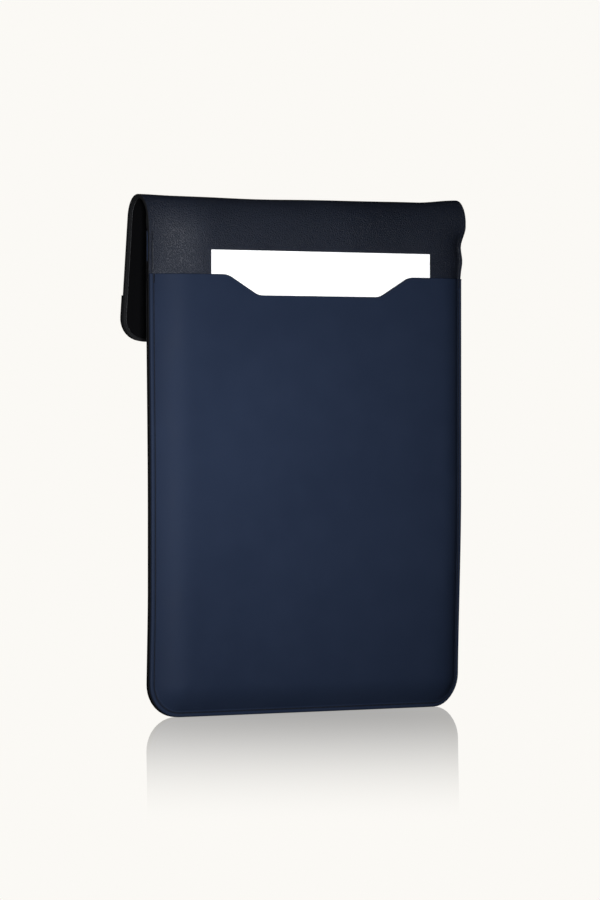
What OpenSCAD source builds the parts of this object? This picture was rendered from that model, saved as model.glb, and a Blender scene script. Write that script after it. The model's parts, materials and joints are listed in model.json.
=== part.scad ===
// Laptop sleeve in two leathers, standing on its short edge, with a document pocket on its back
// and a flap that turns over the top edge and hangs down the front.
// X is the width and Z is up. The back and its pocket face -Y, and the flap hangs on the +Y side.
// The origin is the middle of the bottom edge.

/* [Sleeve] */
// Width across the sewn side edges
sleeve_w = 250; // [225:1:300]
// Height of the side seams, which is the height of the mouth
seam_h = 318; // [270:1:380]
// Radius of the two bottom corners
corner_r = 22; // [16:1:34]
// Depth of the laptop compartment, front to back
compartment_t = 16; // [12:0.5:22]

/* [Hem] */
// Width of the flat sewn edge
hem_w = 6.1; // [6.1:0.1:7.5]
// Run of the slope between the flat edge and the face of a panel
rise_w = 7; // [5:0.5:10]
// Distance of the seam from the edge
stitch_in = 2.8; // [2:0.1:3]
// Width of a row of thread
thread_w = 0.7; // [0.4:0.1:1]
// Height of the thread above the leather
thread_t = 0.4; // [0.2:0.1:0.6]
// Length of a bar tack
tack_l = 6; // [4:0.5:10]
// Width of a bar tack
tack_w = 1.2; // [0.8:0.1:1.2]

/* [Layers] */
// Thickness of the leather
leather_t = 1.2; // [0.8:0.1:2]
// Thickness of the pocket's lined leather
pocket_t = 2; // [1.2:0.1:2]
// Thickness of the foam padding
padding_t = 1.5; // [1:0.1:3]
// Thickness of the lining
lining_t = 0.5; // [0.4:0.1:1]

/* [Pocket] */
// Distance of the pocket's top edge below the mouth
pocket_drop = 28; // [18:1:78]
// Room between the back panel and the pocket panel
pocket_gap = 1.4; // [1.2:0.1:3]
// Width of the notch at the pocket's top edge
notch_top_w = 146; // [110:1:170]
// Width of the notch at its floor
notch_floor_w = 98; // [60:1:105]
// Depth of the notch
notch_d = 13.5; // [8:0.5:25]
// Radius of the notch's corners
notch_r = 6; // [2:0.5:8]

/* [Flap] */
// Outer radius of the fold over the top
fold_r = 16; // [14:0.5:22]
// How far the flap hangs away from the front, in degrees
flap_tilt = 6.4; // [4:0.2:12]
// Length of the flap from the fold to its free edge
flap_l = 82; // [65:1:110]
// Radius of the flap's two corners
flap_corner_r = 16; // [10:1:24]
// Height of the band sewn along the free edge
band_h = 30; // [24:1:40]
// Thickness of the band
band_t = 1.6; // [1:0.1:2.5]

/* [Magnets] */
// Radius of a magnet
magnet_r = 6.5; // [5:0.5:9]
// Distance between the two magnets
magnet_span = 120; // [80:1:160]
// Height of the magnets above the flap's free edge
magnet_up = 15; // [11:0.5:18]

/* [Document] */
// Width of the sheet in the pocket
sheet_w = 176; // [148:1:210]
// Height of the sheet's lower edge
sheet_foot = 56; // [46:1:96]
// Thickness of the sheet
sheet_t = 0.3; // [0.1:0.1:0.6]
// How far the sheet stands above the pocket's top edge
sheet_show = 16; // [5:1:40]
// How far the sheet sits to the right of the middle
sheet_shift = 4; // [-8:1:8]

/* [Clearances] */
// Gap between one stretch of the fold and the next
fold_gap = 0.4; // [0.3:0.1:0.8]
// Gap round a magnet in its padding
magnet_clear = 0.3; // [0.2:0.1:0.5]
// Width of leather and lining past the padding at the fold's ends
padding_in = 1; // [0.5:0.5:4]
// Width of leather and lining past the padding at the flap's free edge
flap_padding_in = 4; // [3:0.5:6]
// Distance of the front panel's padding below the mouth
mouth_padding_in = 5; // [3:0.5:10]
// Height of the leather facing inside the mouth
facing_h = 20; // [12:1:30]

/* [Hidden] */
$fn = 48;

grain_leather = [0.17, 0.19, 0.25];
smooth_leather = [0.16, 0.19, 0.27];
lining_cloth = [0.04, 0.04, 0.05];
foam = [0.35, 0.36, 0.38];
thread = [0.10, 0.12, 0.17];
steel = [0.70, 0.71, 0.72];
paper = [0.97, 0.97, 0.96];

// Distances from the middle plane on the flat of a panel, and on the hem
lining_in = compartment_t / 2;
lining_out = lining_in + lining_t;
leather_in = lining_out + padding_t;
leather_out = leather_in + leather_t;
pocket_in = leather_out + pocket_gap;
hem_lining = lining_t;
hem_leather = hem_lining + leather_t;
hem_pocket = hem_leather + pocket_t;

// Height of the pocket's top edge, and the sheet's length
pocket_h = seam_h - pocket_drop;
sheet_l = pocket_h + sheet_show - sheet_foot;

// How far each layer's slope moves out towards the edge, so that layers on a slope stay apart
lining_grow = 0.25;
leather_grow = 0.8;
pocket_grow = 1.8;
wall_grow = 0.5;

// The fold: its centre, the turn of each of its four hinges, and their places round it
hinges = 4;
fold_y = fold_r - leather_out;
fold_z = seam_h + 7.5;
turn = (180 - flap_tilt) / hinges;
gap_turn = fold_gap / 2 / fold_r * 180 / PI;
function hinge_at(k) = (k - 0.5) * turn;

// Where the flat flap begins, and where its free edge is
flap_y = fold_y + fold_r * cos(flap_tilt);
flap_z = fold_z + fold_r * sin(flap_tilt);
free_edge_z = flap_z - flap_l * cos(flap_tilt);

thin = 0.01;
lap = 0.2;
past = 1;

// A flat shape as wide as w from y = 0 up to h, with its two lower corners rounded
module tab(w, h, r) {
    translate([-w / 2, r]) square([w, h - r]);
    translate([r - w / 2, 0]) square([w - 2 * r, h]);
    intersection() {
        for (side = [-1, 1]) translate([side * (w / 2 - r), r]) circle(r);
        translate([-w / 2, 0]) square([w, h]);
    }
}

// The sewn outline, moved in from the edge by inset and open at the height top
module outline(inset, top) {
    translate([0, inset]) tab(sleeve_w - 2 * inset, top - inset, corner_r - inset);
}

// Stands a flat shape up so that it fills the depths from near to far behind the middle plane
module upright(near, far) {
    rotate([90, 0, 0]) translate([0, 0, near]) linear_extrude(far - near) children();
}

// The filled form of a panel: straight from low to base, then in to the flat at face
module dome(low, base, face, grow, top) {
    hull() {
        upright(low, base) outline(hem_w - grow, top);
        upright(face - thin, face) outline(hem_w + rise_w - grow, top);
    }
}

// A panel of thickness t: its hem lies at the depth hem and its flat at the depth face
module tray(hem, face, t, grow, top) {
    difference() {
        union() {
            upright(hem, hem + t) outline(0, top);
            dome(hem, hem + t, face + t, grow + wall_grow * t / leather_t, top);
        }
        dome(hem - past, hem, face, grow, top + past);
    }
}

// Part of a panel between two heights
module between(low, high) {
    intersection() {
        children();
        translate([-sleeve_w, -sleeve_w, low]) cube([2 * sleeve_w, 2 * sleeve_w, high - low]);
    }
}

// A stretch of the fold, depth below its outer face, t thick and w wide, from angle a to angle b
module fold_arc(depth, t, w, a, b) {
    translate([0, fold_y, fold_z]) rotate([90, 0, -90]) rotate([0, 0, a])
        rotate_extrude(angle = b - a) translate([fold_r - depth - t, -w / 2]) square([t, w]);
}

// The stretch of the fold that turns between hinge k and hinge k + 1
module fold_stretch(k, depth, t, w) {
    fold_arc(depth, t, w, hinge_at(k) + gap_turn, hinge_at(k + 1) - gap_turn);
}

// The back panel's upper end, from the mouth up to the first hinge
module fold_root(depth, t, w) {
    translate([-w / 2, depth - leather_out, seam_h - lap]) cube([w, t, fold_z - seam_h + lap]);
    fold_arc(depth, t, w, 0, hinge_at(1) - gap_turn);
}

// Puts a flat piece of the flap in its place; its outer face is at y = 0 and it hangs along -Z
module on_flap() {
    translate([0, flap_y, flap_z]) rotate([flap_tilt, 0, 0]) children();
}

// A layer of the flap, depth below the outer face, ending inset short of the edges
module flap_layer(depth, t, inset) {
    w = sleeve_w - 2 * inset;
    on_flap() upright(depth, depth + t)
        translate([0, inset - flap_l]) tab(w, flap_l - inset + lap, flap_corner_r - inset);
    fold_arc(depth, t, w, hinge_at(hinges) + gap_turn, 180 - flap_tilt);
}

// The flap's band as a flat shape, moved in by inset
module band_shape(inset) {
    translate([0, inset - flap_l])
        tab(sleeve_w - 2 * inset, band_h - 2 * inset, flap_corner_r - inset);
}

// The notch in the pocket's top edge
module notch() {
    offset(r = -notch_r) offset(r = 2 * notch_r) offset(r = -notch_r) union() {
        polygon([[-notch_top_w / 2, pocket_h], [-notch_floor_w / 2, pocket_h - notch_d],
                 [notch_floor_w / 2, pocket_h - notch_d], [notch_top_w / 2, pocket_h]]);
        translate([-sleeve_w, pocket_h]) square([2 * sleeve_w, 4 * notch_r]);
    }
}

// The seam's row of thread as a flat shape between two heights
module seam_row(low, high) {
    intersection() {
        difference() {
            outline(stitch_in - thread_w / 2, seam_h);
            outline(stitch_in + thread_w / 2, seam_h + past);
        }
        translate([-sleeve_w, low]) square([2 * sleeve_w, high - low]);
    }
}

// A tack at each side seam, with its top at the height top
module tack_pair(top) {
    for (side = [-1, 1])
        translate([side * (sleeve_w / 2 - stitch_in) - tack_w / 2, top - tack_l])
            square([tack_w, tack_l]);
}

// Two magnet discs of radius r at the height up, as a flat shape
module magnet_pair(r, up) {
    for (side = [-1, 1]) translate([side * magnet_span / 2, up]) circle(r);
}

module back_leather() {
    color(grain_leather) {
        tray(hem_lining, leather_in, leather_t, leather_grow, seam_h);
        fold_root(0, leather_t, sleeve_w);
    }
}

module back_padding() {
    color(foam) {
        upright(lining_out, leather_in) outline(hem_w + rise_w, seam_h);
        fold_root(leather_t, padding_t, sleeve_w - 2 * padding_in);
    }
}

module back_lining() {
    color(lining_cloth) {
        tray(0, lining_in, lining_t, lining_grow, seam_h);
        fold_root(leather_t + padding_t, lining_t, sleeve_w);
    }
}

module pocket_panel() {
    color(smooth_leather) difference() {
        tray(hem_leather, pocket_in, pocket_t, pocket_grow, pocket_h);
        upright(0, pocket_in + pocket_t + past) notch();
    }
}

module front_leather() {
    color(grain_leather) mirror([0, 1, 0])
        tray(hem_lining, leather_in, leather_t, leather_grow, seam_h);
}

module front_padding() {
    color(foam) mirror([0, 1, 0]) upright(lining_out, leather_in) difference() {
        outline(hem_w + rise_w, seam_h - mouth_padding_in);
        magnet_pair(magnet_r + magnet_clear, free_edge_z + magnet_up);
    }
}

module front_lining() {
    color(lining_cloth) mirror([0, 1, 0]) between(0, seam_h - facing_h)
        tray(0, lining_in, lining_t, lining_grow, seam_h);
}

module mouth_facing() {
    color(smooth_leather) mirror([0, 1, 0]) between(seam_h - facing_h, seam_h)
        tray(0, lining_in, lining_t, lining_grow, seam_h);
}

module front_magnets() {
    color(steel) mirror([0, 1, 0]) upright(lining_out, leather_in)
        magnet_pair(magnet_r, free_edge_z + magnet_up);
}

module hem_thread() {
    color(thread) {
        upright(hem_pocket, hem_pocket + thread_t) seam_row(0, pocket_h - tack_l);
        upright(hem_leather, hem_leather + thread_t) seam_row(pocket_h, seam_h - tack_l);
        mirror([0, 1, 0]) upright(hem_leather, hem_leather + thread_t)
            seam_row(0, seam_h - tack_l);
    }
}

module bar_tacks() {
    color(thread) {
        upright(hem_pocket, hem_pocket + thread_t) tack_pair(pocket_h);
        upright(hem_leather, hem_leather + thread_t) tack_pair(seam_h);
        mirror([0, 1, 0]) upright(hem_leather, hem_leather + thread_t) tack_pair(seam_h);
    }
}

module fold_rear_leather() {
    color(grain_leather) fold_stretch(1, 0, leather_t, sleeve_w);
}

module fold_rear_padding() {
    color(foam) fold_stretch(1, leather_t, padding_t, sleeve_w - 2 * padding_in);
}

module fold_rear_lining() {
    color(lining_cloth) fold_stretch(1, leather_t + padding_t, lining_t, sleeve_w);
}

module fold_top_leather() {
    color(grain_leather) fold_stretch(2, 0, leather_t, sleeve_w);
}

module fold_top_padding() {
    color(foam) fold_stretch(2, leather_t, padding_t, sleeve_w - 2 * padding_in);
}

module fold_top_lining() {
    color(lining_cloth) fold_stretch(2, leather_t + padding_t, lining_t, sleeve_w);
}

module fold_front_leather() {
    color(grain_leather) fold_stretch(3, 0, leather_t, sleeve_w);
}

module fold_front_padding() {
    color(foam) fold_stretch(3, leather_t, padding_t, sleeve_w - 2 * padding_in);
}

module fold_front_lining() {
    color(lining_cloth) fold_stretch(3, leather_t + padding_t, lining_t, sleeve_w);
}

module flap_leather() {
    color(grain_leather) flap_layer(0, leather_t, 0);
}

module flap_padding() {
    color(foam) difference() {
        flap_layer(leather_t, padding_t, flap_padding_in);
        on_flap() upright(leather_t - past, leather_t + padding_t + past)
            magnet_pair(magnet_r + magnet_clear, magnet_up - flap_l);
    }
}

module flap_lining() {
    color(lining_cloth) flap_layer(leather_t + padding_t, lining_t, 0);
}

module flap_band() {
    color(smooth_leather) on_flap() upright(-band_t, 0) band_shape(0);
}

module flap_magnets() {
    color(steel) on_flap() upright(leather_t, leather_t + padding_t)
        magnet_pair(magnet_r, magnet_up - flap_l);
}

module band_thread() {
    color(thread) on_flap() upright(-band_t - thread_t, -band_t) difference() {
        band_shape(stitch_in - thread_w / 2);
        band_shape(stitch_in + thread_w / 2);
    }
}

module document_sheet() {
    near = leather_out + (pocket_gap - sheet_t) / 2;
    color(paper) upright(near, near + sheet_t)
        translate([sheet_shift - sheet_w / 2, pocket_h + sheet_show - sheet_l])
            square([sheet_w, sheet_l]);
}

back_leather();
back_padding();
back_lining();
pocket_panel();
front_leather();
front_padding();
front_lining();
mouth_facing();
front_magnets();
hem_thread();
bar_tacks();
fold_rear_leather();
fold_rear_padding();
fold_rear_lining();
fold_top_leather();
fold_top_padding();
fold_top_lining();
fold_front_leather();
fold_front_padding();
fold_front_lining();
flap_leather();
flap_padding();
flap_lining();
flap_band();
flap_magnets();
band_thread();
document_sheet();
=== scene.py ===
import json
import math

import bmesh
import bpy
import numpy as np
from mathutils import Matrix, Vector

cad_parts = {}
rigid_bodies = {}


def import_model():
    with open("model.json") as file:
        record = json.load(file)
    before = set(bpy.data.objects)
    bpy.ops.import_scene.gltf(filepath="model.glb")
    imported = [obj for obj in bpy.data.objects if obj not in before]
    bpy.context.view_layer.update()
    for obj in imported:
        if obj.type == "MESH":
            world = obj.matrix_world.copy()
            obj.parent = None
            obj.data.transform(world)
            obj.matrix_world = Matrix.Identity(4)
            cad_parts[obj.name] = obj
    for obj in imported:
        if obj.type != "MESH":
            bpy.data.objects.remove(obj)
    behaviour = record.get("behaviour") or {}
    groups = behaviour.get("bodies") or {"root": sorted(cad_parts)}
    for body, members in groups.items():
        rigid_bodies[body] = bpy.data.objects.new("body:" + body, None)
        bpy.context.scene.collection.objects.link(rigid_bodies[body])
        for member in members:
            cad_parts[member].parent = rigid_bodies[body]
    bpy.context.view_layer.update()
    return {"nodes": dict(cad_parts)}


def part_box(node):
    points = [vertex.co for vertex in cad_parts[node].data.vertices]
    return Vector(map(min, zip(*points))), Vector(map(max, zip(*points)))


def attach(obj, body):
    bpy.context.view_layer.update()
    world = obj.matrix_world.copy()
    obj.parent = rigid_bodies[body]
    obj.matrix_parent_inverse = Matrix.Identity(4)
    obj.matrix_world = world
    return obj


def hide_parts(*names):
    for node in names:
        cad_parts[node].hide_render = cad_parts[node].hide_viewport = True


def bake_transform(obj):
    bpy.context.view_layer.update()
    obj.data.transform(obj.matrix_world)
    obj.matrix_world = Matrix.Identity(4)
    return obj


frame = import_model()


def deselect_all():
    for one in bpy.data.objects:
        one.select_set(False)


deselect_all()

# ---------------------------------------------------------------- camera

CAMERA_TURN = math.radians(-34.3)
CAMERA_FAR = 3.30
CAMERA_HIGH = 0.200
AIM = Vector((-0.0040, 0.0026, CAMERA_HIGH))

eye = bpy.data.cameras.new("main_camera")
eye.sensor_fit = "VERTICAL"
eye.sensor_height = 36
eye.lens = 198.2
eye.shift_y = -0.0428
eye.clip_end = 60
camera = bpy.data.objects.new("main_camera", eye)
bpy.context.scene.collection.objects.link(camera)
toward_camera = Vector((math.sin(CAMERA_TURN), -math.cos(CAMERA_TURN), 0))
camera.location = AIM + toward_camera * CAMERA_FAR
camera.rotation_euler = (-toward_camera).to_track_quat("-Z", "Y").to_euler()
bpy.context.scene.camera = camera
bpy.context.scene.view_settings.view_transform = "Standard"

# ---------------------------------------------------------------- sizes, in millimetres

MM = 0.001
high_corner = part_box("front_leather")[1]
HALF_W = high_corner.x / MM
MOUTH_Z = high_corner.z / MM
POCKET_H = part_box("pocket_panel")[1].z / MM
CORNER_R = 22.0
LEATHER_T = 1.2
POCKET_T = 2.0
PADDING_T = 1.5
LINING_T = 0.5
STACK_T = LEATHER_T + PADDING_T + LINING_T
HEM_FACE = 1.7
BACK_FACE = 11.2
POCKET_HEM = 3.7
POCKET_FACE = 14.6
STITCH_IN = 2.8
HEM_FLAT = 3.9
SLOPE = 25.0
FRAME_IN = 13.0
FLAP_FRAME_IN = 10.0
FOLD_R = 16.0
FOLD_Y = 4.8
FOLD_Z = 325.5
TILT = math.radians(6.4)
TURN = math.radians(43.4)
FLAP_L = 82.0
FLAP_CORNER_R = 16.0
BAND_H = 30.0
BAND_T = 1.6
TURNED_IN = 2.2
PITCH = 3.0
STITCH = (2.25, 0.62, 0.34)
HOLE_R = 0.42
THREAD_SUNK = 0.18
ROLL_FOOT, ROLL_HEAD = 262.0, 300.0
RIGHT_ROLL_FOOT = 311.0
TURN_FOOT, TURN_HEAD = 316.0, 321.0
NOTCH_DEPTH = 13.5
NOTCH_HALF = 73.0
NOTCH_SLOPE = 24.0
NOTCH_EASE = 3.2
NOTCH_FOOT = 226.0


def ease(u):
    u = np.clip(u, 0, 1)
    return u * u * (3 - 2 * u)


def step(a, b, v):
    return ease((v - a) / (b - a))


def rounding(d, r=0.4):
    """How far a face falls back at the distance d from an edge rounded to r."""
    k = np.clip(r - d, 0, r)
    return r - np.sqrt(r * r - k * k)


def bell(v, width):
    return np.exp(-((v / width) ** 2))


def groove(d):
    """Depth of the groove that the seam lies in, at the distance d from the edge."""
    return 0.22 * bell(d - STITCH_IN, 0.40)


# ---------------------------------------------------------------- patterns and shells

RIM = [0.0, 0.06, 0.15, 0.28, 0.4]


def grid_faces(nx, nz):
    """The faces of a grid whose points are numbered up one column after the other."""
    corners = [i * nz + j for i in range(nx - 1) for j in range(nz - 1)]
    return [(c, c + nz, c + nz + 1, c + 1) for c in corners]


def grid_edge(nx, nz):
    """The grid's points down the first column, along the first row and up the last column."""
    return ([j for j in range(nz - 1, 0, -1)] + [i * nz for i in range(nx)]
            + [(nx - 1) * nz + j for j in range(1, nz)])


class Pattern:
    """A flat pattern cut as a U: two sides, a bottom edge with rounded corners, and a top edge."""

    def __init__(self, half_w, low, high, radius, frame_in, insets, columns, rows, top_rows):
        self.half_w, self.low, self.high, self.radius = half_w, low, high, radius
        inner_w, inner_low, inner_r = half_w - frame_in, low + frame_in, radius - frame_in
        corner = np.linspace(0, 1, 6)[:-1]
        middle = inner_w - inner_r
        xs = np.concatenate([-inner_w + corner * inner_r, np.linspace(-middle, middle, columns),
                             inner_w - corner[::-1] * inner_r])
        zs = np.concatenate([inner_low + corner * inner_r,
                             np.linspace(inner_low + inner_r, high - 6, rows),
                             high - np.array(sorted(top_rows, reverse=True))])
        zs = np.array(sorted(set(np.round(zs, 5))))
        nx, nz = len(xs), len(zs)
        x, z = np.meshgrid(xs, zs, indexing="ij")
        a = np.clip((np.abs(x) - (inner_w - inner_r)) / inner_r, 0, 1)
        b = np.clip((inner_low + inner_r - z) / inner_r, 0, 1)
        in_corner = (a > 0) & (b > 0)
        x = np.where(in_corner, np.sign(x) * (inner_w - inner_r + inner_r * a * np.sqrt(1 - b * b / 2)), x)
        z = np.where(in_corner, inner_low + inner_r - inner_r * b * np.sqrt(1 - a * a / 2), z)
        flat = [(x[i, j], z[i, j]) for i in range(nx) for j in range(nz)]
        faces = grid_faces(nx, nz)
        loop = grid_edge(nx, nz)
        previous, left_ends, right_ends = loop, [], []
        for inset in sorted(insets, reverse=True):
            ring = []
            for n in loop:
                px, pz = flat[n]
                qx = max(abs(px) - (inner_w - inner_r), 0) * (1 if px > 0 else -1)
                qz = min(pz - (inner_low + inner_r), 0)
                if qz == 0:
                    out = (1 if px > 0 else -1, 0)
                elif qx == 0:
                    out = (0, -1)
                else:
                    far = math.hypot(qx, qz)
                    out = (qx / far, qz / far)
                ring.append(len(flat))
                flat.append((px + out[0] * (frame_in - inset), pz + out[1] * (frame_in - inset)))
            faces += [(previous[k + 1], previous[k], ring[k], ring[k + 1]) for k in range(len(loop) - 1)]
            left_ends.append(ring[0])
            right_ends.append(ring[-1])
            previous = ring
        top = [i * nz + nz - 1 for i in range(nx - 1, -1, -1)]
        self.faces = faces
        self.rim = previous + right_ends[:-1][::-1] + top + left_ends[:-1]
        self.flat = np.array(flat)
        self.x, self.z = self.flat[:, 0], self.flat[:, 1]
        self.d = self.distance(self.x, self.z)

    def distance(self, x, z):
        """How far a point is in from the sides and the bottom."""
        cx, cz = self.half_w - self.radius, self.low + self.radius
        ax = np.abs(x)
        corner = self.radius - np.hypot(ax - cx, cz - z)
        straight = np.minimum(self.half_w - ax, z - self.low)
        return np.maximum(np.where((ax > cx) & (z < cz), corner, straight), 0)


def strip_pattern(xs, steps):
    """The faces and the rim of a plain grid, with a column at each of xs and a number of steps along it."""
    nx, nz = len(xs), steps + 1
    far_row = [i * nz + nz - 1 for i in range(nx - 2, 0, -1)]
    return grid_faces(nx, nz), grid_edge(nx, nz) + far_row


def smooth_mesh(name, points, faces):
    """A smooth mesh of points in millimetres, with its normals facing out."""
    mesh = bpy.data.meshes.new(name)
    mesh.from_pydata([tuple(p) for p in points * MM], [], faces)
    built = bmesh.new()
    built.from_mesh(mesh)
    bmesh.ops.recalc_face_normals(built, faces=built.faces)
    built.to_mesh(mesh)
    built.free()
    mesh.polygons.foreach_set("use_smooth", np.ones(len(mesh.polygons), bool))
    return mesh


def shown(name, mesh):
    piece = bpy.data.objects.new(name, mesh)
    bpy.context.scene.collection.objects.link(piece)
    return piece


def shell(name, face, back, faces, rim, edge=None):
    """A closed piece between two faces that share one layout; all in millimetres."""
    n = len(face)
    quads = list(faces) + [tuple(n + v for v in reversed(f)) for f in faces]
    quads += [(a, b, n + b, n + a) for a, b in zip(rim, rim[1:] + rim[:1])]
    mesh = smooth_mesh(name, np.concatenate([face, back]), quads)
    if edge is not None:
        attribute = mesh.attributes.new("edge_paint_and_shade", "FLOAT", "POINT")
        # The inner face is marked 1 all over: painted shade, the leather's inside coloured with the black
        # edge paint.
        marks = np.concatenate([edge, np.ones_like(edge)])
        attribute.data.foreach_set("value", marks.astype(np.float32))
    mesh.set_sharp_from_angle(angle=math.radians(50))
    mesh.update()
    return shown(name, mesh)


def xyz(x, y, z):
    return np.stack([x, y, z], axis=1)


# ---------------------------------------------------------------- the form of the two halves and the fold

# the roll across the top: centre's y, half its depth, crest's height, and its height behind and in front
LEFT_ROLL = (13.5, 13.2, 342.0, 22.0, 13.7)
MIDDLE_ROLL = (4.8, 16.0, 341.3, 27.0, 15.8)
RIGHT_ROLL = (3.2, 11.5, 343.6, 16.0, 12.0)
FLARE = 5.7


def near_left(x, reach=41):
    return 1 - ease((x + HALF_W) / reach)


def near_right(x, reach=33):
    return 1 - ease((HALF_W - x) / reach)


def roll(x):
    """The roll's five sizes at x."""
    left, right = near_left(x), near_right(x)
    sizes = [m + left * (l - m) + right * (r - m) for l, m, r in zip(LEFT_ROLL, MIDDLE_ROLL, RIGHT_ROLL)]
    dip, rise = bell(x + 38, 34), bell(x - 84, 26)
    sizes[2] = sizes[2] - 0.7 * dip + 0.3 * rise
    return sizes


def roll_radius(turn, centre_y, deep, centre_z, high):
    """Distance from the fold's centre to an ellipse round it."""
    c, s = np.cos(turn) / deep, np.sin(turn) / high
    cy, cz = (FOLD_Y - centre_y) / deep, (FOLD_Z - centre_z) / high
    a, b = c * c + s * s, s * cz - c * cy
    return (np.sqrt(b * b - a * (cy * cy + cz * cz - 1)) - b) / a


def fold_radius(x, turn):
    centre_y, deep, crest, rear, front = roll(x)
    behind = roll_radius(turn, centre_y, deep, crest - rear, rear)
    before = roll_radius(turn, centre_y, deep, crest - front, front)
    r = np.where(FOLD_Y - behind * np.cos(turn) < centre_y, behind, before)
    return r + (FOLD_R + flare(x) - r) * step(math.radians(100), math.radians(173.6), turn)


def roll_back(x, z):
    """Where the roll's back is, from the foot of its curve up."""
    centre_y, deep, crest, rear, _ = roll(x)
    return centre_y - deep * np.sqrt(1 - np.clip((z - crest + rear) / rear, 0, 1) ** 2)


def flare(x):
    """How far the flap's left end stands away from the sleeve."""
    return FLARE * near_left(x, 40)


def sway(x, z):
    """How far the sewn edges stand off one plane: a lean at the corners, a wave at the mouth's right."""
    left = near_left(x) * (2.2 * step(130, 310, z) + 1.9 * (1 - step(0, 85, z)))
    right = near_right(x) * 4.0 * (1 - step(0, 150, z))
    wave = bell(HALF_W - x, 9) * step(288, 293, z) * (0.7 + 2.0 * bell(z - 302, 6))
    return left + right - wave


def swell(d, z):
    """How far a half has risen from its hem, from 0 to 1."""
    side = 1 - (1 - np.clip((d - HEM_FLAT) / SLOPE, 0, 1)) ** 3
    return side * (0.7 + 0.3 * step(0, 21, z))


def roll_share(x, z):
    """How far the back panel has gone over into the roll, from 0 to 1."""
    right = near_right(x)
    return (1 - right) * step(ROLL_FOOT, ROLL_HEAD, z) + right * step(RIGHT_ROLL_FOOT, FOLD_Z, z)


def back_y(x, z, d, fall=0.0):
    """Where the back leather's outer face is, up to the fold, with what it falls back by."""
    body = -HEM_FACE - (BACK_FACE - HEM_FACE) * swell(d, z) + sway(x, z)
    return body + (roll_back(x, z) - body) * roll_share(x, z) + fall


def back_gap(x, z, d):
    """How much of its full thickness the back's padding has."""
    return np.maximum(swell(d, z), roll_share(x, z))


def thread_groove(d, z, low, high):
    return groove(d) * step(low - 0.6, low + 0.6, z) * (1 - step(high - 0.6, high + 0.6, z))


def groove_shade_mark(d, z, low, high):
    """Painted shade along the thread's groove: how dark the groove's leather is coloured, from 0 to 1."""
    return 0.85 * thread_groove(d, z, low, high) / groove(STITCH_IN)


def shift_in(pattern, by, low, high):
    """x of the pattern with its sides moved in by a distance between two heights."""
    share = step(low, high, pattern.z) * (1 - np.clip(pattern.d / FRAME_IN, 0, 1))
    return pattern.x - np.sign(pattern.x) * by * share


HEM_RINGS = RIM + [0.7, 1.2, 1.7, 2.0, 2.3, 2.55, 2.8, 3.05, 3.3, 3.6, 3.9,
                   4.4, 5.0, 5.7, 6.5, 7.4, 8.4, 9.5, 10.7, 11.9]
TOP_ROWS = RIM + [0.8, 1.4, 2.2, 3.2, 4.4]
PLAIN_ROWS = [0, 1, 2, 3, 4, 5]


def half_pattern(low_in=0.0, high=MOUTH_Z, columns=44, rows=64, rings=HEM_RINGS, top_rows=TOP_ROWS):
    return Pattern(HALF_W - low_in, low_in, high, CORNER_R - low_in, FRAME_IN - low_in,
                   rings, columns, rows, top_rows)


def turned_in(d):
    """1 where the leather is turned in at its edge, and 0 away from it."""
    return 1 - step(TURNED_IN - 0.5, TURNED_IN, d)


def edge_mark(*distances):
    """1 on a painted edge and 0 away from it."""
    return np.clip((0.4 - np.minimum.reduce(distances)) / 0.12, 0, 1)


def back_leather():
    cut = half_pattern(high=FOLD_Z, top_rows=PLAIN_ROWS, rows=110)
    x, z, d = cut.x, cut.z, cut.d
    turned = (STACK_T - LEATHER_T) * step(TURN_FOOT, TURN_HEAD, z) * turned_in(d)
    y = back_y(x, z, d, rounding(d) + thread_groove(d, z, 0, MOUTH_Z - 1))
    y_in = back_y(x, z, d, LEATHER_T + turned - rounding(d, 0.25))
    # the edge paint, and painted shade along the seam's groove
    marks = np.maximum(edge_mark(d), groove_shade_mark(d, z, 0, MOUTH_Z - 1))
    return shell("back_leather_panel", xyz(x, y, z), xyz(x, y_in, z), cut.faces, cut.rim, marks)


def front_leather():
    cut = half_pattern()
    x, z, d = cut.x, cut.z, cut.d
    top = MOUTH_Z - z
    h = swell(d, z)
    out = HEM_FACE + (BACK_FACE - HEM_FACE) * h
    fall = rounding(np.minimum(d, top)) + thread_groove(d, z, 0, MOUTH_Z)
    hollow = (PADDING_T - 0.1) * h * (1 - step(1.6, 2.2, top))
    inner = out - LEATHER_T - hollow + rounding(np.minimum(d, top), 0.25)
    y, y_in = out - fall + sway(x, z), inner + sway(x, z)
    # the edge paint, and painted shade along the seam's groove
    marks = np.maximum(edge_mark(d, top), groove_shade_mark(d, z, 0, MOUTH_Z))
    return shell("front_leather_panel", xyz(x, y, z), xyz(x, y_in, z), cut.faces, cut.rim, marks)


def lining_pair(side, high, columns=30, rows=40):
    """A half's lining: side is -1 on the back and 1 on the front."""
    cut = half_pattern(high=high, columns=columns, rows=rows, rings=[0, 1.5, 3, 3.9, 5, 6.5, 8, 10],
                       top_rows=PLAIN_ROWS)
    x, z, d = cut.x, cut.z, cut.d
    if side < 0:
        x = shift_in(cut, TURNED_IN + 0.4, TURN_FOOT, TURN_HEAD)
        near = back_y(cut.x, z, d, LEATHER_T + 0.05 + (PADDING_T + 0.05) * back_gap(cut.x, z, d))
        far = near + LINING_T - 0.05
    else:
        near = 0.45 + 8.0 * swell(d, z) + sway(x, z)
        far = near - LINING_T + 0.07
    return cut, x, z, near, far


def back_lining():
    cut, x, z, y, y_in = lining_pair(-1, FOLD_Z, rows=56)
    return shell("back_lining_cloth", xyz(x, y, z), xyz(x, y_in, z), cut.faces, cut.rim)


def front_lining():
    cut, x, z, y, y_in = lining_pair(1, MOUTH_Z - 20)
    return shell("front_lining_cloth", xyz(x, y, z), xyz(x, y_in, z), cut.faces, cut.rim)


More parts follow.
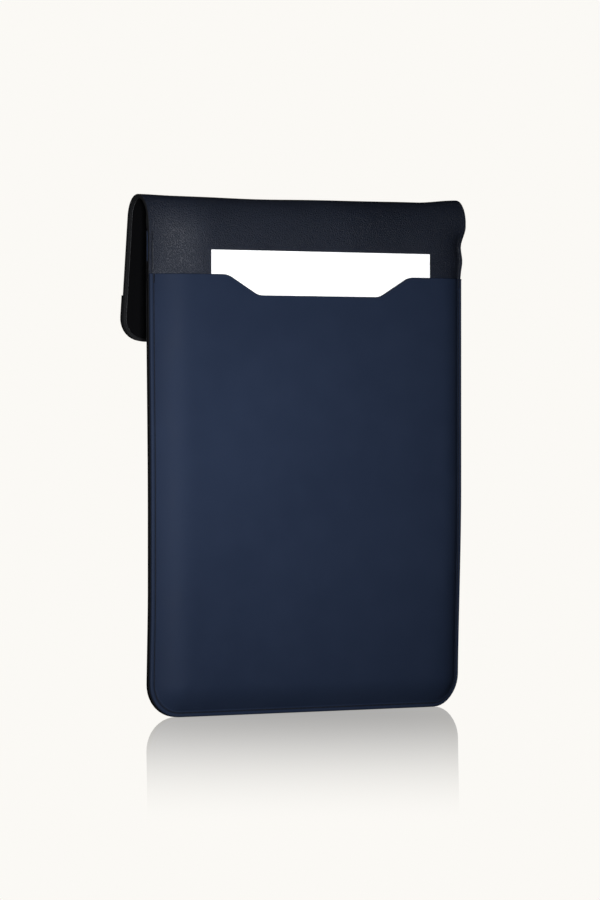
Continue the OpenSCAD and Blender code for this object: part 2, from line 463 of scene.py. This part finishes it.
def mouth_facing():
    xs = side_columns(0.0, 6.0)
    zs = np.concatenate([[MOUTH_Z - 19.9, MOUTH_Z - 19.8], np.linspace(MOUTH_Z - 19, MOUTH_Z - 1.2, 8),
                         MOUTH_Z - 0.05 - np.array([0.6, 0.3, 0.15, 0.05, 0])])
    faces, rim = strip_pattern(xs, len(zs) - 1)
    x, z = (a.ravel() for a in np.meshgrid(xs, zs, indexing="ij"))
    d = HALF_W - np.abs(x)
    near = 0.45 + 8.0 * swell(d, z)
    ends = np.minimum(z - zs[0], zs[-1] - z)
    y = near - rounding(ends, 0.2) * 0.5
    y_in = np.maximum(near - 0.5 + rounding(ends, 0.2) * 0.5, 0.02)
    return shell("mouth_facing_strip", xyz(x, y + sway(x, z), z), xyz(x, y_in + sway(x, z), z), faces, rim)


def half_padding(name, side, high):
    low_in = 5.0
    cut = half_pattern(low_in=low_in, high=high, columns=30, rows=60,
                       rings=[0, 0.8, 1.8, 3, 4.4, 6], top_rows=[0, 1, 2.5, 4])
    x, z = cut.x, cut.z
    d = cut.d + low_in
    if side < 0:
        y = back_y(x, z, d, LEATHER_T + 0.04)
        y_in = y + np.maximum((PADDING_T - 0.1) * back_gap(x, z, d), 0.06)
    else:
        y = HEM_FACE - LEATHER_T - 0.04 + (BACK_FACE - HEM_FACE) * swell(d, z) + sway(x, z)
        y_in = y - np.maximum((PADDING_T - 0.12) * swell(d, z), 0.06)
    return shell(name, xyz(x, y, z), xyz(x, y_in, z), cut.faces, cut.rim)


def notch_top(x):
    """Height of the pocket's top edge, with the notch's corners eased."""
    total = np.zeros_like(x)
    offsets = np.linspace(-NOTCH_EASE, NOTCH_EASE, 17)
    for offset in offsets:
        total += np.clip((NOTCH_HALF - np.abs(x + offset)) / NOTCH_SLOPE, 0, 1)
    return POCKET_H - NOTCH_DEPTH * total / len(offsets)


def pocket_panel():
    cut = half_pattern(high=POCKET_H, columns=150, rows=60)
    x, d = cut.x, cut.d
    lift = np.clip((cut.z - NOTCH_FOOT) / (POCKET_H - NOTCH_FOOT), 0, 1)
    z = cut.z + (notch_top(x) - POCKET_H) * lift
    top = (notch_top(x) - z) * 0.95
    gape = 0.9 * step(235, POCKET_H, cut.z) * np.clip(1 - (x / HALF_W) ** 2, 0, 1)
    out = POCKET_HEM + (POCKET_FACE - POCKET_HEM) * swell(d, cut.z) + gape
    near = np.minimum(d, top)
    fall = np.maximum(rounding(d, 1.3), rounding(top)) + thread_groove(d, z, 0, POCKET_H - 6)
    y = -(out - fall) + sway(x, z)
    y_in = -(out - POCKET_T + 0.05 + rounding(near, 0.3)) + sway(x, z)
    # a light share of edge paint, and painted shade along the seam's groove
    marks = np.maximum(0.3 * edge_mark(d, top), groove_shade_mark(d, z, 0, POCKET_H - 6))
    return shell("document_pocket", xyz(x, y, z), xyz(x, y_in, z), cut.faces, cut.rim, marks)


# ---------------------------------------------------------------- the fold's stretches

def side_columns(inset, pitch):
    """Columns across the width, closer together near the ends."""
    half = HALF_W - inset
    ends = np.array(RIM + [0.8, 1.3, 1.7, 1.95, 2.2, 2.7, 3.5, 5, 7, 9.5, 12.5, 16, 20, 25, 30, 36])
    middle = np.linspace(-half + 42, half - 42, int((2 * half - 84) / pitch) + 1)
    return np.concatenate([-half + ends, middle, (half - ends)[::-1]])


BODIES = ["sleeve", "fold_rear", "fold_top", "fold_front", "flap"]
# for each body, the radius of the arc whose ends set where a hinge's bend begins or ends
HOLD_R = [3.0, 4.0, 8.0, 12.8, 12.8]


def around(x, turn, depth):
    r = fold_radius(x, turn) - depth
    return xyz(x, FOLD_Y - r * np.cos(turn), FOLD_Z + r * np.sin(turn))


def fold_layer(name, k, xs, outer, inner, edge=False):
    """The layer's stretch across hinge k, from one resting angle to the next; outer and inner are depths."""
    steps = 12
    turns = TURN * (k + np.linspace(0, 1, steps + 1))
    faces, rim = strip_pattern(xs, steps)
    x, turn = (a.ravel() for a in np.meshgrid(xs, turns, indexing="ij"))
    d = HALF_W - np.abs(x)
    face, back = around(x, turn, outer(d)), around(x, turn, inner(d))
    return shell(name, face, back, faces, rim, edge_mark(d) if edge else None)


def hang_on_hinge(piece, k):
    """Works out where hinge k lies, on the fold's outer face half way round the stretch, and bakes the
    piece's transform into its mesh.
    """
    turn = TURN * (k + 0.5)
    out = Vector((0, -math.cos(turn), math.sin(turn)))
    along = Vector((0, math.sin(turn), math.cos(turn)))
    centre = Vector((0, FOLD_Y, FOLD_Z)) + out * FOLD_R
    half_turn = math.sin(TURN / 2)
    end = (centre + along * HOLD_R[k + 1] * half_turn) * MM
    BODIES[k + 1]
    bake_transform(piece)


def turned_depth(d):
    """Depth of the leather's inner face, which turns in at the edge and covers the layers under it."""
    return LEATHER_T + (STACK_T - LEATHER_T) * turned_in(d) - rounding(d, 0.4)


def at_depth(depth):
    """The depth of a face that lies level from edge to edge."""
    return lambda d: np.full_like(d, depth)


# ---------------------------------------------------------------- the flap

flap_start = np.array([FOLD_Y + FOLD_R * math.cos(TILT), FOLD_Z + FOLD_R * math.sin(TILT)])
down = np.array([math.sin(TILT), -math.cos(TILT)])
away = np.array([math.cos(TILT), math.sin(TILT)])


def on_flap(x, s, out):
    """A point of the flap: s down from the fold, and out from its outer face."""
    return xyz(x, flap_start[0] + s * down[0] + out * away[0], flap_start[1] + s * down[1] + out * away[1])


def bow(x, s):
    """How far the flap stands out from its own plane."""
    return flare(x) + 0.3 * np.sin(math.pi * np.clip(s / FLAP_L, 0, 1)) ** 2 * (1 - (x / HALF_W) ** 2)


def flap_pattern(inset, columns=44, rows=20, rings=None):
    rings = rings if rings is not None else RIM + [0.8, 1.3, 1.7, 1.95, 2.2, 2.7, 3.5, 4.6, 6.0, 7.8]
    return Pattern(HALF_W - inset, inset - FLAP_L, 0, FLAP_CORNER_R - inset, FLAP_FRAME_IN - inset,
                   rings, columns, rows, [0, 1.5, 3, 4.5])


def flap_leather():
    cut = flap_pattern(0)
    x, s, d = cut.x, -cut.z, cut.d
    face = on_flap(x, s, bow(x, s) - rounding(d))
    back = on_flap(x, s, bow(x, s) - turned_depth(d))
    return shell("flap_leather_panel", face, back, cut.faces, cut.rim, edge_mark(d))


def flap_padding():
    cut = flap_pattern(TURNED_IN + 0.6, columns=30, rings=[0, 1, 2.5, 4.5])
    x, s = cut.x, -cut.z
    face = on_flap(x, s, bow(x, s) - LEATHER_T - 0.05)
    back = on_flap(x, s, bow(x, s) - LEATHER_T - PADDING_T + 0.05)
    return shell("flap_padding_foam", face, back, cut.faces, cut.rim)


def flap_lining():
    cut = flap_pattern(TURNED_IN + 0.15, columns=34, rings=[0, 0.1, 0.25, 0.6, 1.5, 3, 5])
    x, s = cut.x, -cut.z
    fall = rounding(cut.d, 0.25)
    face = on_flap(x, s, bow(x, s) - LEATHER_T - PADDING_T - 0.02)
    back = on_flap(x, s, bow(x, s) - STACK_T + fall - 0.02)
    return shell("flap_lining_cloth", face, back, cut.faces, cut.rim)


def flap_band():
    rings = RIM + [0.8, 1.4, 2.0, 2.3, 2.55, 2.8, 3.05, 3.3, 3.8, 4.8]
    cut = Pattern(HALF_W, -FLAP_L, BAND_H - FLAP_L, FLAP_CORNER_R, FLAP_FRAME_IN,
                  rings + [6.2, 8.0], 44, 8, rings)
    x, s, d = cut.x, -cut.z, cut.d
    top = BAND_H - FLAP_L - cut.z
    near = np.minimum(d, top)
    face = on_flap(x, s, bow(x, s) + BAND_T - rounding(near) - groove(near))
    back = on_flap(x, s, bow(x, s) + 0.02)
    return shell("flap_band_strip", face, back, cut.faces, cut.rim, edge_mark(d, top))


# ---------------------------------------------------------------- thread

def one_stitch(length, width, height):
    """A short twist of thread lying along X, with its two ends going down into the leather."""
    bpy.ops.mesh.primitive_cylinder_add(vertices=7, radius=width / 2, depth=length,
                                        rotation=(0, math.pi / 2, 0))
    rod = bpy.context.active_object
    bpy.ops.object.transform_apply(location=True, rotation=True, scale=True)
    bpy.ops.object.mode_set(mode="EDIT")
    built = bmesh.from_edit_mesh(rod.data)
    long_edges = [e for e in built.edges if abs(e.verts[0].co.x - e.verts[1].co.x) > length / 2]
    bmesh.ops.subdivide_edges(built, edges=long_edges, cuts=4, use_grid_fill=True)
    bmesh.update_edit_mesh(rod.data)
    bpy.ops.object.mode_set(mode="OBJECT")
    points = np.array([v.co for v in rod.data.vertices])
    along = points[:, 0] / (length / 2)
    thin = 1 - 0.45 * np.abs(along) ** 3
    points[:, 1] *= thin
    points[:, 2] = points[:, 2] * thin * (height / width * 1.4) + height * (0.35 - 1.1 * np.abs(along) ** 3)
    faces = [tuple(p.vertices) for p in rod.data.polygons]
    bpy.data.objects.remove(rod)
    return points, faces


def one_hole_shade_disc(radius):
    """A needle hole's shade, painted as a dark disc sunk in the groove."""
    bpy.ops.mesh.primitive_cylinder_add(vertices=8, radius=radius, depth=0.16)
    disc = bpy.context.active_object
    points = np.array([v.co for v in disc.data.vertices])
    faces = [tuple(p.vertices) for p in disc.data.polygons]
    bpy.data.objects.remove(disc)
    return points, faces


def sew(name, spots, stitch, hole=None):
    """Repeats a stitch at each spot (place, direction, outward), and a needle hole's painted-shade disc at
    its end.
    """
    points, faces, holes, count = [], [], [], 0
    for place, along, out in spots:
        across = np.cross(out, along)
        shapes = [(stitch, 0.0, False)] + ([(hole, PITCH / 2, True)] if hole else [])
        for (shape, shape_faces), ahead, dark in shapes:
            points.append(place + along * ahead + shape @ np.array([along, across, out]))
            faces += [tuple(v + count for v in f) for f in shape_faces]
            holes += [dark] * len(shape_faces)
            count += len(shape)
    mesh = smooth_mesh(name, np.concatenate(points), faces)
    mesh.polygons.foreach_set("material_index", np.array(holes, np.int32))
    return shown(name, mesh)


def spots_along(path, out, start=PITCH / 2):
    """Evenly spaced places along a path of points, with the direction at each."""
    path = np.array(path)
    legs = np.linalg.norm(np.diff(path, axis=0), axis=1)
    walked = np.concatenate([[0], np.cumsum(legs)])

    def point(at):
        return np.array([np.interp(at, walked, path[:, c]) for c in range(3)])

    found = []
    for k in range(int((walked[-1] - start) / PITCH) + 1):
        at = start + k * PITCH
        along = point(at + 0.4) - point(at - 0.4)
        found.append((point(at), along / np.linalg.norm(along), np.array(out, float)))
    return found


def bend_angles(count):
    return np.linspace(0, math.pi / 2, count)[1:]


def side_path(side, low_z, high_z):
    """The seam's line up one side between two heights."""
    return [(side * (HALF_W - STITCH_IN), z) for z in np.linspace(low_z, high_z, 30)]


def hem_path(high_z):
    """The seam's line from a height on the left side, round the bottom, to that height on the right."""
    half, r = HALF_W - STITCH_IN, CORNER_R - STITCH_IN
    left = [(-half, z) for z in np.linspace(high_z, CORNER_R, 60)]
    bend = [(-half + r - r * math.cos(a), CORNER_R - r * math.sin(a)) for a in bend_angles(16)]
    bottom = [(x, STITCH_IN) for x in np.linspace(-half + r, half - r, 60)[1:]]
    right = [(-x, z) for x, z in reversed(left + bend)]
    return left + bend + bottom[:-1] + right


def seam(path, y):
    """The seam's line in space, on the plane y."""
    flat = np.array(path, float)
    x, z = flat[:, 0], flat[:, 1]
    return xyz(x, y + sway(x, z), z)


def hem_rows():
    stitch, hole = one_stitch(*STITCH), one_hole_shade_disc(HOLE_R)
    face = POCKET_HEM - THREAD_SUNK
    upper = HEM_FACE - THREAD_SUNK
    rear, front = (0, -1, 0), (0, 1, 0)
    spots = spots_along(seam(hem_path(POCKET_H - 6.5), -face), rear)
    for side in (-1, 1):
        spots += spots_along(seam(side_path(side, POCKET_H + 0.6, MOUTH_Z - 6.5), -upper), rear, start=1.2)
    spots_front = spots_along(seam(hem_path(MOUTH_Z - 6.5), upper), front)
    return sew("seam_thread_back", spots, stitch, hole), sew("seam_thread_front", spots_front, stitch, hole)


def band_row():
    half, r = HALF_W - STITCH_IN, FLAP_CORNER_R - STITCH_IN
    low, high = FLAP_L - STITCH_IN, FLAP_L - BAND_H + STITCH_IN
    turn_s = FLAP_L - FLAP_CORNER_R
    left = [(-half, s) for s in np.linspace(high, turn_s, 12)]
    bend = [(-half + r - r * math.cos(a), turn_s + r * math.sin(a)) for a in bend_angles(14)]
    bottom = [(x, low) for x in np.linspace(-half + r, half - r, 60)[1:-1]]
    right = [(-x, s) for x, s in reversed(left + bend)]
    top = [(x, high) for x in np.linspace(half, -half, 70)[1:]]
    flat = np.array(left + bend + bottom + right + top)
    x, s = flat[:, 0], flat[:, 1]
    path = on_flap(x, s, bow(x, s) + BAND_T - THREAD_SUNK)
    spots = spots_along(path, (0, away[0], away[1]))
    return sew("band_thread_row", spots, one_stitch(*STITCH), one_hole_shade_disc(HOLE_R))


def tacks():
    """Short dense rows across the seam at the pocket's corners and at the mouth's."""
    stitch = one_stitch(1.9, 0.5, 0.5)
    spots = []
    rows = ((POCKET_H - 0.6, -POCKET_HEM, -1), (MOUTH_Z - 0.8, -HEM_FACE, -1), (MOUTH_Z - 0.8, HEM_FACE, 1))
    for top, face, facing in rows:
        for side in (-1, 1):
            for k in range(13):
                z = top - 0.46 * k
                x = side * (HALF_W - STITCH_IN)
                at_x, at_z = np.array([x]), np.array([z])
                y = face + float(sway(at_x, at_z)[0])
                if face == -HEM_FACE:
                    y = float(back_y(at_x, at_z, np.array([STITCH_IN]))[0])
                lean = 0.12 * (-1) ** k
                along = np.array([math.cos(lean), 0, math.sin(lean)])
                spots.append((np.array([x, y - 0.05 * facing, z]), along, np.array([0.0, facing, 0.0])))
    return sew("bar_tack_thread", spots, stitch)


# ---------------------------------------------------------------- making the pieces

made = {
    "back_leather": back_leather(),
    "front_leather": front_leather(),
    "pocket_panel": pocket_panel(),
    "back_lining": back_lining(),
    "front_lining": front_lining(),
    "mouth_facing": mouth_facing(),
    "back_padding": half_padding("back_padding_foam", -1, FOLD_Z),
    "front_padding": half_padding("front_padding_foam", 1, MOUTH_Z - 5),
    "flap_leather": flap_leather(),
    "flap_padding": flap_padding(),
    "flap_lining": flap_lining(),
    "flap_band": flap_band(),
    "bar_tacks": tacks(),
    "band_thread": band_row(),
}
seam_back, seam_front = hem_rows()

under_padding = LEATHER_T + PADDING_T
# each layer's slot, name, columns, and the depths of its two faces
fold_layers = (
    ("grain_leather", "leather", side_columns(0, 6.0), rounding, turned_depth),
    ("padding", "padding", side_columns(TURNED_IN + 0.6, 10.0),
     at_depth(LEATHER_T + 0.05), at_depth(under_padding - 0.05)),
    ("lining", "lining", side_columns(TURNED_IN + 0.15, 8.0),
     at_depth(under_padding + 0.02), at_depth(STACK_T + 0.02)),
)
fold_pieces = []
for k in range(4):
    for slot, layer, columns, outer, inner in fold_layers:
        piece = fold_layer(f"fold_{layer}_{k + 1}", k, columns, outer, inner, layer == "leather")
        fold_pieces.append((k, slot, layer, piece))


def magnet_pockets(piece, magnets):
    """Cuts the foam away round its two magnets."""
    for low, high in magnets:
        centre = (low + high) / 2
        bpy.ops.mesh.primitive_cylinder_add(vertices=40, radius=(high.x - low.x) / 2 + 0.3 * MM,
                                            depth=12 * MM, location=centre, rotation=(math.pi / 2, 0, 0))
        cutter = bpy.context.active_object
        cut = piece.modifiers.new("magnet pocket", "BOOLEAN")
        cut.operation, cut.solver, cut.object = "DIFFERENCE", "EXACT", cutter
        deselect_all()
        bpy.context.view_layer.objects.active = piece
        piece.select_set(True)
        bpy.ops.object.modifier_apply(modifier=cut.name)
        bpy.data.objects.remove(cutter)


def magnet_boxes(node):
    points = np.array([v.co for v in frame["nodes"][node].data.vertices])
    sides = (points[points[:, 0] < 0], points[points[:, 0] > 0])
    return [(Vector(p.min(0)), Vector(p.max(0))) for p in sides]


magnet_pockets(made["front_padding"], magnet_boxes("front_magnets"))
magnet_pockets(made["flap_padding"], magnet_boxes("flap_magnets"))


# ---------------------------------------------------------------- materials

class Value:
    """A socket of a material's nodes that can be used in a sum."""

    def __init__(self, made_in, socket):
        self.made_in, self.socket = made_in, socket

    def sum(self, operation, other, swapped=False):
        pair = (other, self) if swapped else (self, other)
        return self.made_in.node("ShaderNodeMath", {"operation": operation}, pair)

    def __add__(self, other): return self.sum("ADD", other)
    def __radd__(self, other): return self.sum("ADD", other, True)
    def __sub__(self, other): return self.sum("SUBTRACT", other)
    def __rsub__(self, other): return self.sum("SUBTRACT", other, True)
    def __mul__(self, other): return self.sum("MULTIPLY", other)
    def __rmul__(self, other): return self.sum("MULTIPLY", other, True)


class Finish:
    """A material in the making."""

    def __init__(self, name, **fixed):
        self.material = bpy.data.materials.new(name)
        self.material.use_nodes = True
        self.nodes, self.links = self.material.node_tree.nodes, self.material.node_tree.links
        self.shader = self.nodes["Principled BSDF"]
        for socket, value in fixed.items():
            self.shader.inputs[socket.replace("_", " ")].default_value = value
        self.place = self.node("ShaderNodeTexCoord", {}, (), "Object")

    def node(self, kind, settings, inputs, output=0):
        """Any node: its settings first, then the values or links of its sockets, by position or by name."""
        made_node = self.nodes.new(kind)
        for key, value in settings.items():
            setattr(made_node, key, value)
        named = inputs.items() if isinstance(inputs, dict) else enumerate(inputs)
        for key, value in named:
            if isinstance(value, Value):
                self.links.new(value.socket, made_node.inputs[key])
            else:
                made_node.inputs[key].default_value = value
        return Value(self, made_node.outputs[output])

    def noise(self, scale, detail=2.0, roughness=0.5, place=None):
        inputs = {"Vector": place or self.place, "Scale": scale, "Detail": detail, "Roughness": roughness}
        return self.node("ShaderNodeTexNoise", {}, inputs, "Fac")

    def cells(self, scale, feature="F1", place=None):
        inputs = {"Vector": place or self.place, "Scale": scale}
        return self.node("ShaderNodeTexVoronoi", {"feature": feature}, inputs, "Distance")

    def ramp(self, value, low, high):
        return self.node("ShaderNodeMapRange", {"interpolation_type": "SMOOTHSTEP"},
                         {"Value": value, "From Min": low, "From Max": high}, "Result")

    def blend(self, share, first, second):
        return self.node("ShaderNodeMix", {"data_type": "RGBA"}, {0: share, 6: first, 7: second}, 2)

    def mark(self, name):
        return self.node("ShaderNodeAttribute", {"attribute_name": name}, (), "Fac")

    def bump(self, height, distance, strength=1.0, under=None):
        inputs = {"Height": height, "Distance": distance, "Strength": strength}
        if under:
            inputs["Normal"] = under
        return self.node("ShaderNodeBump", {}, inputs, "Normal")

    def give(self, **links):
        for socket, value in links.items():
            self.links.new(value.socket, self.shader.inputs[socket.replace("_", " ")])
        return self.material


# The black edge paint; the same colour is also painted shade in the seam grooves and on the leather's inner
# faces.
EDGE_PAINT_AND_SHADE = (0.0016, 0.0018, 0.0028, 1)


def grained_leather():
    f = Finish("grained_leather", Specular_IOR_Level=0.36)
    stir = f.node("ShaderNodeTexNoise", {}, {"Vector": f.place, "Scale": 900.0, "Detail": 1.0}, "Color")
    drift = f.node("ShaderNodeVectorMath", {"operation": "MULTIPLY_ADD"},
                   {0: stir, 1: (0.0006, 0.0006, 0.0006), 2: f.place})
    pebbles = f.cells(1450.0, "SMOOTH_F1", drift)
    fine = f.noise(3800.0, 2.0, 0.6)
    broad = f.noise(14.0, 3.0, 0.55)
    crease = f.ramp(pebbles, 0.30, 0.62)
    edge = f.mark("edge_paint_and_shade")
    drifting = f.ramp(broad, 0.3, 0.7)
    tone = f.blend(drifting, (0.0110, 0.0148, 0.0262, 1), (0.0142, 0.0188, 0.0330, 1))
    # Painted shade: the grain's creases are coloured a darker navy.
    crease_shade_tone = f.blend(crease * 0.45, tone, (0.0060, 0.0075, 0.0130, 1))
    # Where marked, the colour is the black edge paint on the edges and painted shade in the seam grooves and
    # on the inner faces.
    colour = f.blend(edge, crease_shade_tone, EDGE_PAINT_AND_SHADE)
    rough = 0.40 + 0.08 * drifting + 0.20 * crease
    height = (1 - crease) * (1 - edge) + 0.25 * fine * (1 - edge)
    return f.give(Base_Color=colour, Roughness=rough + 0.35 * edge, Normal=f.bump(height, 0.00022, 1.0))


def smooth_leather():
    f = Finish("smooth_leather", Specular_IOR_Level=0.10)
    pores = f.cells(2600.0, "F1")
    fine = f.noise(5200.0, 2.0, 0.6)
    broad = f.noise(10.0, 4.0, 0.6)
    cloud = f.noise(55.0, 3.0, 0.5)
    edge = f.mark("edge_paint_and_shade")
    tone = f.blend(f.ramp(broad, 0.25, 0.75), (0.0140, 0.0225, 0.0470, 1), (0.0165, 0.0260, 0.0530, 1))
    tone = f.blend(f.ramp(cloud, 0.35, 0.75) * 0.35, tone, (0.0190, 0.0290, 0.0580, 1))
    # Where marked, the colour is the black edge paint on the edges and painted shade in the seam grooves and
    # on the inner faces.
    colour = f.blend(edge, tone, EDGE_PAINT_AND_SHADE)
    rough = 0.64 + 0.08 * f.ramp(cloud, 0.3, 0.7) + 0.05 * fine
    height = f.ramp(pores, 0.05, 0.5) * 0.6 + 0.5 * fine
    return f.give(Base_Color=colour, Roughness=rough + 0.1 * edge,
                  Normal=f.bump(height * (1 - edge), 0.00004, 0.7))


def lining_cloth():
    f = Finish("lining_cloth", Specular_IOR_Level=0.08)
    nap = f.noise(2400.0, 3.0, 0.7)
    drift = f.noise(40.0, 2.0, 0.5)
    # The lining is black cloth; its colour is set darker still, as painted shade for the shade under the
    # flap.
    colour = f.blend(nap, (0.0006, 0.0006, 0.0009, 1), (0.0016, 0.0017, 0.0022, 1))
    rough = 0.88 + 0.08 * drift
    return f.give(Base_Color=colour, Roughness=rough, Normal=f.bump(nap + 0.5 * drift, 0.00012, 0.8))


def foam():
    f = Finish("foam", Specular_IOR_Level=0.2)
    cells = f.cells(1600.0, "F1")
    colour = f.blend(cells, (0.070, 0.071, 0.076, 1), (0.140, 0.142, 0.150, 1))
    return f.give(Base_Color=colour, Roughness=0.9 - 0.1 * cells, Normal=f.bump(cells, 0.0003, 0.8))


def sewing_thread():
    f = Finish("sewing_thread", Specular_IOR_Level=0.3)
    ply = f.noise(6000.0, 2.0, 0.7)
    colour = f.blend(ply, (0.0030, 0.0042, 0.0085, 1), (0.0075, 0.0105, 0.0210, 1))
    return f.give(Base_Color=colour, Roughness=0.55 + 0.2 * ply, Normal=f.bump(ply, 0.00008, 0.8))


def needle_hole_shade():
    # Painted shade: the needle hole's disc is coloured near-black.
    f = Finish("needle_hole_shade", Specular_IOR_Level=0.05)
    grain = f.noise(3000.0)
    colour = f.blend(grain, (0.0008, 0.0009, 0.0014, 1), (0.0022, 0.0025, 0.0040, 1))
    return f.give(Base_Color=colour, Roughness=0.8 + 0.15 * grain)


def magnet_steel():
    f = Finish("magnet_steel", Metallic=1.0)
    stretched = f.node("ShaderNodeMapping", {}, {"Vector": f.place, "Scale": (1, 1, 14)})
    brushed = f.noise(900.0, 3.0, 0.6, stretched)
    colour = f.blend(brushed, (0.46, 0.46, 0.48, 1), (0.66, 0.66, 0.68, 1))
    return f.give(Base_Color=colour, Roughness=0.24 + 0.14 * brushed, Normal=f.bump(brushed, 0.00002, 0.5))


def glowing_white_paper():
    # Painted light: the paper also glows by emission in its own colour, to stay bright white.
    f = Finish("glowing_white_paper", Specular_IOR_Level=0.3, Emission_Strength=0.5)
    fibre = f.noise(2200.0, 4.0, 0.7)
    cloud = f.noise(70.0, 3.0, 0.5)
    colour = f.blend(cloud, (0.900, 0.905, 0.905, 1), (0.945, 0.945, 0.940, 1))
    return f.give(Base_Color=colour, Emission_Color=colour, Roughness=0.62 + 0.12 * fibre,
                  Normal=f.bump(fibre, 0.00003, 0.6))


finishes = {"grain_leather": grained_leather(), "smooth_leather": smooth_leather(), "lining": lining_cloth(),
            "padding": foam(), "thread": sewing_thread(), "magnet": magnet_steel(), "paper": glowing_white_paper()}
hole_shade_finish = needle_hole_shade()


def dress(piece, slot):
    piece.data.materials.clear()
    piece.data.materials.append(finishes[slot])


SLOTS = {"back_leather": "grain_leather", "front_leather": "grain_leather", "pocket_panel": "smooth_leather",
         "back_lining": "lining", "front_lining": "lining", "mouth_facing": "smooth_leather",
         "back_padding": "padding", "front_padding": "padding", "flap_leather": "grain_leather",
         "flap_padding": "padding", "flap_lining": "lining", "flap_band": "smooth_leather",
         "bar_tacks": "thread", "band_thread": "thread"}
for node, piece in made.items():
    dress(piece, SLOTS[node])
    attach(piece, "flap" if "flap" in node or "band" in node else "sleeve")
    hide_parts(node)
for piece in (seam_back, seam_front):
    dress(piece, "thread")
    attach(piece, "sleeve")
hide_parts("hem_thread")
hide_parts("hem_thread")
# the second slot is the needle holes' painted shade
for piece in (seam_back, seam_front, made["band_thread"]):
    piece.data.materials.append(hole_shade_finish)

stretches = {0: ["rear"], 1: ["rear", "top"], 2: ["top", "front"], 3: ["front"]}
for k, slot, layer, piece in fold_pieces:
    dress(piece, slot)
    hang_on_hinge(piece, k)
    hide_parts(*[f"fold_{place}_{layer}" for place in stretches[k]])

for node, slot in (("front_magnets", "magnet"), ("flap_magnets", "magnet"), ("document_sheet", "paper")):
    dress(frame["nodes"][node], slot)

for k, slot, layer, piece in fold_pieces:
    if layer == "lining":
        f"fold_padding_{k + 1}"

# ---------------------------------------------------------------- floor, backdrop and lights

BACKDROP = (0.965, 0.948, 0.913, 1)

bpy.ops.mesh.primitive_plane_add(size=30, location=(0, 0, 0))
floor = bpy.context.active_object
floor.name = "studio_floor"
floor.visible_diffuse = False
floor.visible_glossy = False

ground = bpy.data.materials.new("gloss_floor")
ground.use_nodes = True
tree = ground.node_tree
tree.nodes.clear()
output = tree.nodes.new("ShaderNodeOutputMaterial")
where = tree.nodes.new("ShaderNodeTexCoord")
from_middle = tree.nodes.new("ShaderNodeVectorMath")
from_middle.operation = "DISTANCE"
tree.links.new(where.outputs["Object"], from_middle.inputs[0])
# the floor's gloss fades out with the distance from the object
fade = tree.nodes.new("ShaderNodeMapRange")
fade.interpolation_type = "SMOOTHSTEP"
for socket, value in (("From Min", -0.10), ("From Max", 0.90), ("To Min", 0.60), ("To Max", 0.0)):
    fade.inputs[socket].default_value = value
tree.links.new(from_middle.outputs["Value"], fade.inputs["Value"])
plain = tree.nodes.new("ShaderNodeEmission")
plain.inputs["Color"].default_value = BACKDROP
gloss = tree.nodes.new("ShaderNodeBsdfGlossy")
gloss.inputs["Roughness"].default_value = 0.02
gloss.inputs["Color"].default_value = (1, 1, 1, 1)
mixed = tree.nodes.new("ShaderNodeMixShader")
tree.links.new(fade.outputs["Result"], mixed.inputs[0])
tree.links.new(plain.outputs[0], mixed.inputs[1])
tree.links.new(gloss.outputs[0], mixed.inputs[2])
tree.links.new(mixed.outputs[0], output.inputs["Surface"])
floor.data.materials.append(ground)

# part of a round wall behind the object, seen only by glossy rays
WALL_H = 0.33
bpy.ops.mesh.primitive_cylinder_add(vertices=96, radius=1.25, depth=WALL_H, end_fill_type="NOTHING",
                                    location=(0, 0, WALL_H / 2))
wall = bpy.context.active_object
wall.name = "studio_wall"
bpy.ops.object.transform_apply(location=True, rotation=True, scale=True)
ring = bmesh.new()
ring.from_mesh(wall.data)
near_side = [v for v in ring.verts if v.co.x * toward_camera.x + v.co.y * toward_camera.y > -1.14]
bmesh.ops.delete(ring, geom=near_side, context="VERTS")
ring.to_mesh(wall.data)
ring.free()
wall.visible_camera = False
wall.visible_diffuse = False
white = bpy.data.materials.new("wall_white")
white.use_nodes = True
white.node_tree.nodes.clear()
white_out = white.node_tree.nodes.new("ShaderNodeOutputMaterial")
white_light = white.node_tree.nodes.new("ShaderNodeEmission")
white_light.inputs["Color"].default_value = BACKDROP
white.node_tree.links.new(white_light.outputs[0], white_out.inputs["Surface"])
wall.data.materials.append(white)

world = bpy.data.worlds.new("studio")
bpy.context.scene.world = world
world.use_nodes = True
sky = world.node_tree
sky.nodes.clear()
world_out = sky.nodes.new("ShaderNodeOutputWorld")
seen = sky.nodes.new("ShaderNodeBackground")
seen.inputs["Color"].default_value = BACKDROP
lit = sky.nodes.new("ShaderNodeBackground")
lit.inputs["Color"].default_value = (0.80, 0.88, 1.0, 1)
lit.inputs["Strength"].default_value = 0.015
ray = sky.nodes.new("ShaderNodeLightPath")
pick = sky.nodes.new("ShaderNodeMixShader")
sky.links.new(ray.outputs["Is Camera Ray"], pick.inputs[0])
sky.links.new(lit.outputs[0], pick.inputs[1])
sky.links.new(seen.outputs[0], pick.inputs[2])
sky.links.new(pick.outputs[0], world_out.inputs["Surface"])


def lamp(name, kind, place, aim, power, colour):
    light = bpy.data.lights.new(name, kind)
    light.energy = power
    light.color = colour
    shown_lamp = bpy.data.objects.new(name, light)
    bpy.context.scene.collection.objects.link(shown_lamp)
    shown_lamp.location = place
    shown_lamp.rotation_euler = (Vector(aim) - Vector(place)).to_track_quat("-Z", "Y").to_euler()
    shown_lamp.visible_camera = False
    return light


key = lamp("key_light", "AREA", (-1.25, -1.82, 0.14), (0, 0, 0.2), 28, (0.97, 0.98, 1.0))
key.shape = "RECTANGLE"
key.size, key.size_y = 0.7, 0.5
pool = lamp("pool_light", "SPOT", (-1.15, -2.10, 0.24), (-0.085, 0, 0.19), 270, (0.98, 0.99, 1.0))
pool.spot_size = math.radians(12.6)
pool.spot_blend = 1.0
pool.shadow_soft_size = 0.2
far = lamp("far_light", "AREA", (0.7, 2.3, 0.22), (0, 0, 0.17), 14, (0.96, 0.98, 1.0))
far.size = 1.2
